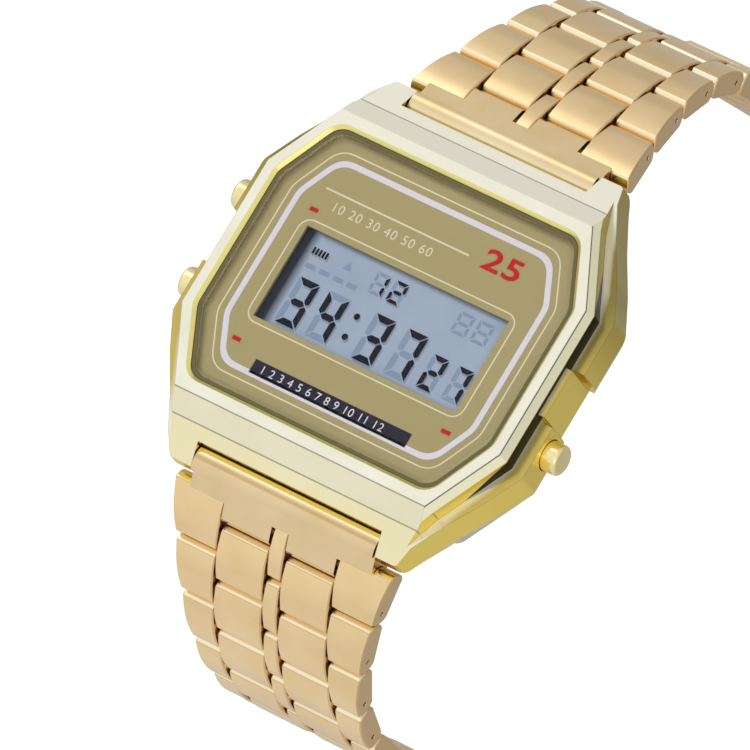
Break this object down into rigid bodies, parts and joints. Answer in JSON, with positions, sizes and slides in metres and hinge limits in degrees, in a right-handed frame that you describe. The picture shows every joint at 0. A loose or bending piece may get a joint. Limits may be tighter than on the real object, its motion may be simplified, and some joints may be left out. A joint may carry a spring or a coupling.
{
  "type": "digital wristwatch",
  "caption": "Digital wristwatch with an octagonal metal case, liquid crystal display, side buttons and a tapering linked bracelet with a folding clasp, shown open",
  "frame": {"origin": "centre of the case back's flat face", "axes": "+Z out of the dial, +Y towards 12 o'clock, +X towards 3 o'clock"},
  "size_m": [0.0376, 0.0757, 0.0777],
  "materials": {
    "case_metal": "polished gold tone",
    "bracelet_metal": "satin gold tone",
    "steel": "satin",
    "crystal_glass": "polished clear",
    "display_glass": "satin grey",
    "clear_plastic": "frosted",
    "gasket_rubber": "matte",
    "dial_print": "printed satin",
    "module_plastic": "matte",
    "board": "satin green",
    "chip": "matte black",
    "buzzer_brass": "satin"
  },
  "bodies": {
    "case": {"case_body": "case_metal", "crystal": "crystal_glass", "crystal_gasket": "gasket_rubber", "face_plate": "dial_print", "lcd_panel": "display_glass", "light_guide": "clear_plastic", "led_lamp": "clear_plastic", "connector_strips": "gasket_rubber", "module_frame": "module_plastic", "circuit_board": "board", "clock_chip": "chip", "quartz_crystal": "steel", "rear_holder": "module_plastic", "battery": "steel", "battery_clip": "steel", "buzzer_disc": "buzzer_brass", "back_gasket": "gasket_rubber", "back_cover": "steel", "back_screws": "steel", "lug_bars": "steel", "button_springs": "steel"},
    "button_light": {"button_light": "case_metal"},
    "button_mode": {"button_mode": "case_metal"},
    "button_start": {"button_start": "case_metal"},
    "end_link_12": {"end_link_12": "bracelet_metal"},
    "link_12_01": {"link_12_01": "bracelet_metal"},
    "link_12_02": {"link_12_02": "bracelet_metal"},
    "link_12_03": {"link_12_03": "bracelet_metal"},
    "link_12_04": {"link_12_04": "bracelet_metal"},
    "link_12_05": {"link_12_05": "bracelet_metal"},
    "link_12_06": {"link_12_06": "bracelet_metal"},
    "link_12_07": {"link_12_07": "bracelet_metal"},
    "link_12_08": {"link_12_08": "bracelet_metal"},
    "link_12_09": {"link_12_09": "bracelet_metal"},
    "link_12_10": {"link_12_10": "bracelet_metal"},
    "link_12_11": {"link_12_11": "bracelet_metal"},
    "link_12_12": {"link_12_12": "bracelet_metal"},
    "link_12_13": {"link_12_13": "bracelet_metal"},
    "link_12_14": {"link_12_14": "bracelet_metal"},
    "link_12_15": {"link_12_15": "bracelet_metal"},
    "end_link_6": {"end_link_6": "bracelet_metal"},
    "link_6_01": {"link_6_01": "bracelet_metal"},
    "link_6_02": {"link_6_02": "bracelet_metal"},
    "link_6_03": {"link_6_03": "bracelet_metal"},
    "link_6_04": {"link_6_04": "bracelet_metal"},
    "link_6_05": {"link_6_05": "bracelet_metal"},
    "link_6_06": {"link_6_06": "bracelet_metal"},
    "link_6_07": {"link_6_07": "bracelet_metal"},
    "link_6_08": {"link_6_08": "bracelet_metal"},
    "link_6_09": {"link_6_09": "bracelet_metal"},
    "link_6_10": {"link_6_10": "bracelet_metal"},
    "link_6_11": {"link_6_11": "bracelet_metal"},
    "link_6_12": {"link_6_12": "bracelet_metal"},
    "link_6_13": {"link_6_13": "bracelet_metal"},
    "link_6_14": {"link_6_14": "bracelet_metal"},
    "link_6_15": {"link_6_15": "bracelet_metal"},
    "clasp_cover": {"clasp_cover": "bracelet_metal"},
    "clasp_middle_blade": {"clasp_middle_blade": "bracelet_metal"},
    "clasp_inner_blade": {"clasp_inner_blade": "bracelet_metal"}
  },
  "joints": [
    {"name": "press_light", "type": "slide", "parent": "case", "child": "button_light", "axis": [1, 0, 0], "range_m": [0, 0.0008], "stiffness_N_per_m": 2000, "springref_m": -0.0005},
    {"name": "press_mode", "type": "slide", "parent": "case", "child": "button_mode", "axis": [1, 0, 0], "range_m": [0, 0.0008], "stiffness_N_per_m": 2000, "springref_m": -0.0005},
    {"name": "press_start", "type": "slide", "parent": "case", "child": "button_start", "axis": [-1, 0, 0], "range_m": [0, 0.0008], "stiffness_N_per_m": 2000, "springref_m": -0.0005},
    {"name": "lug_hinge_12", "type": "hinge", "parent": "case", "child": "end_link_12", "pos_m": [0, 0.0169, 0.0041], "axis": [1, 0, 0], "range_deg": [0, 24]},
    {"name": "hinge_12_01", "type": "hinge", "parent": "end_link_12", "child": "link_12_01", "pos_m": [0, 0.01941, 0.00298], "axis": [1, 0, 0], "range_deg": [0, 4]},
    {"name": "hinge_12_02", "type": "hinge", "parent": "link_12_01", "child": "link_12_02", "pos_m": [0, 0.02171, 0.00176], "axis": [1, 0, 0], "range_deg": [0, 1.67]},
    {"name": "hinge_12_03", "type": "hinge", "parent": "link_12_02", "child": "link_12_03", "pos_m": [0, 0.02397, 0.00047], "axis": [1, 0, 0], "range_deg": [0, 3.57]},
    {"name": "hinge_12_04", "type": "hinge", "parent": "link_12_03", "child": "link_12_04", "pos_m": [0, 0.02614, -0.00095], "axis": [1, 0, 0], "range_deg": [0, 4.99]},
    {"name": "hinge_12_05", "type": "hinge", "parent": "link_12_04", "child": "link_12_05", "pos_m": [0, 0.02818, -0.00256], "axis": [1, 0, 0], "range_deg": [0, 6.22]},
    {"name": "hinge_12_06", "type": "hinge", "parent": "link_12_05", "child": "link_12_06", "pos_m": [0, 0.03004, -0.00438], "axis": [1, 0, 0], "range_deg": [0, 7.32]},
    {"name": "hinge_12_07", "type": "hinge", "parent": "link_12_06", "child": "link_12_07", "pos_m": [0, 0.03165, -0.00642], "axis": [1, 0, 0], "range_deg": [0, 8.35]},
    {"name": "hinge_12_08", "type": "hinge", "parent": "link_12_07", "child": "link_12_08", "pos_m": [0, 0.03294, -0.00868], "axis": [1, 0, 0], "range_deg": [0, 9.3]},
    {"name": "hinge_12_09", "type": "hinge", "parent": "link_12_08", "child": "link_12_09", "pos_m": [0, 0.03386, -0.01111], "axis": [1, 0, 0], "range_deg": [-0.68, 9.58]},
    {"name": "hinge_12_10", "type": "hinge", "parent": "link_12_09", "child": "link_12_10", "pos_m": [0, 0.03435, -0.01366], "axis": [1, 0, 0], "range_deg": [-9.56, 0]},
    {"name": "hinge_12_11", "type": "hinge", "parent": "link_12_10", "child": "link_12_11", "pos_m": [0, 0.03485, -0.01622], "axis": [1, 0, 0], "range_deg": [-10.28, 0]},
    {"name": "hinge_12_12", "type": "hinge", "parent": "link_12_11", "child": "link_12_12", "pos_m": [0, 0.03535, -0.01877], "axis": [1, 0, 0], "range_deg": [-10.97, 0]},
    {"name": "hinge_12_13", "type": "hinge", "parent": "link_12_12", "child": "link_12_13", "pos_m": [0, 0.03584, -0.02132], "axis": [1, 0, 0], "range_deg": [-11.64, 0]},
    {"name": "hinge_12_14", "type": "hinge", "parent": "link_12_13", "child": "link_12_14", "pos_m": [0, 0.03634, -0.02387], "axis": [1, 0, 0], "range_deg": [-12.29, 0]},
    {"name": "hinge_12_15", "type": "hinge", "parent": "link_12_14", "child": "link_12_15", "pos_m": [0, 0.03683, -0.02643], "axis": [1, 0, 0], "range_deg": [-12.92, 0]},
    {"name": "lug_hinge_6", "type": "hinge", "parent": "case", "child": "end_link_6", "pos_m": [0, -0.0169, 0.0041], "axis": [-1, 0, 0], "range_deg": [0, 40]},
    {"name": "hinge_6_01", "type": "hinge", "parent": "end_link_6", "child": "link_6_01", "pos_m": [0, -0.01901, 0.00233], "axis": [-1, 0, 0], "range_deg": [0, 2]},
    {"name": "hinge_6_02", "type": "hinge", "parent": "link_6_01", "child": "link_6_02", "pos_m": [0, -0.02094, 0.00059], "axis": [-1, 0, 0], "range_deg": [-1.39, 5.76]},
    {"name": "hinge_6_03", "type": "hinge", "parent": "link_6_02", "child": "link_6_03", "pos_m": [0, -0.02269, -0.00133], "axis": [-1, 0, 0], "range_deg": [-1.48, 6.17]},
    {"name": "hinge_6_04", "type": "hinge", "parent": "link_6_03", "child": "link_6_04", "pos_m": [0, -0.02422, -0.00343], "axis": [-1, 0, 0], "range_deg": [-1.52, 6.33]},
    {"name": "hinge_6_05", "type": "hinge", "parent": "link_6_04", "child": "link_6_05", "pos_m": [0, -0.02551, -0.00569], "axis": [-1, 0, 0], "range_deg": [-1.55, 6.44]},
    {"name": "hinge_6_06", "type": "hinge", "parent": "link_6_05", "child": "link_6_06", "pos_m": [0, -0.02654, -0.00808], "axis": [-1, 0, 0], "range_deg": [-1.57, 6.52]},
    {"name": "hinge_6_07", "type": "hinge", "parent": "link_6_06", "child": "link_6_07", "pos_m": [0, -0.02729, -0.01057], "axis": [-1, 0, 0], "range_deg": [-1.58, 6.58]},
    {"name": "hinge_6_08", "type": "hinge", "parent": "link_6_07", "child": "link_6_08", "pos_m": [0, -0.02775, -0.01313], "axis": [-1, 0, 0], "range_deg": [-1.6, 6.64]},
    {"name": "hinge_6_09", "type": "hinge", "parent": "link_6_08", "child": "link_6_09", "pos_m": [0, -0.02791, -0.01572], "axis": [-1, 0, 0], "range_deg": [-1.61, 6.69]},
    {"name": "hinge_6_10", "type": "hinge", "parent": "link_6_09", "child": "link_6_10", "pos_m": [0, -0.02777, -0.01832], "axis": [-1, 0, 0], "range_deg": [-1.62, 6.73]},
    {"name": "hinge_6_11", "type": "hinge", "parent": "link_6_10", "child": "link_6_11", "pos_m": [0, -0.02732, -0.02088], "axis": [-1, 0, 0], "range_deg": [-5.55, 2.15]},
    {"name": "hinge_6_12", "type": "hinge", "parent": "link_6_11", "child": "link_6_12", "pos_m": [0, -0.02678, -0.02342], "axis": [-1, 0, 0], "range_deg": [-7.42, 0]},
    {"name": "hinge_6_13", "type": "hinge", "parent": "link_6_12", "child": "link_6_13", "pos_m": [0, -0.02624, -0.02597], "axis": [-1, 0, 0], "range_deg": [-7.45, 0]},
    {"name": "hinge_6_14", "type": "hinge", "parent": "link_6_13", "child": "link_6_14", "pos_m": [0, -0.0257, -0.02851], "axis": [-1, 0, 0], "range_deg": [-7.48, 0]},
    {"name": "hinge_6_15", "type": "hinge", "parent": "link_6_14", "child": "link_6_15", "pos_m": [0, -0.02516, -0.03105], "axis": [-1, 0, 0], "range_deg": [-7.51, 0]},
    {"name": "clasp_cover_hinge", "type": "hinge", "parent": "link_12_15", "child": "clasp_cover", "pos_m": [0, 0.03733, -0.02898], "axis": [1, 0, 0], "range_deg": [-20, 60]},
    {"name": "clasp_fold_hinge", "type": "hinge", "parent": "clasp_cover", "child": "clasp_middle_blade", "pos_m": [0, 0.04509, -0.06496], "axis": [1, 0, 0], "range_deg": [0, 75]},
    {"name": "clasp_blade_hinge", "type": "hinge", "parent": "clasp_middle_blade", "child": "clasp_inner_blade", "pos_m": [0, 0.03831, -0.03337], "axis": [-1, 0, 0], "range_deg": [0, 135]}
  ]
}
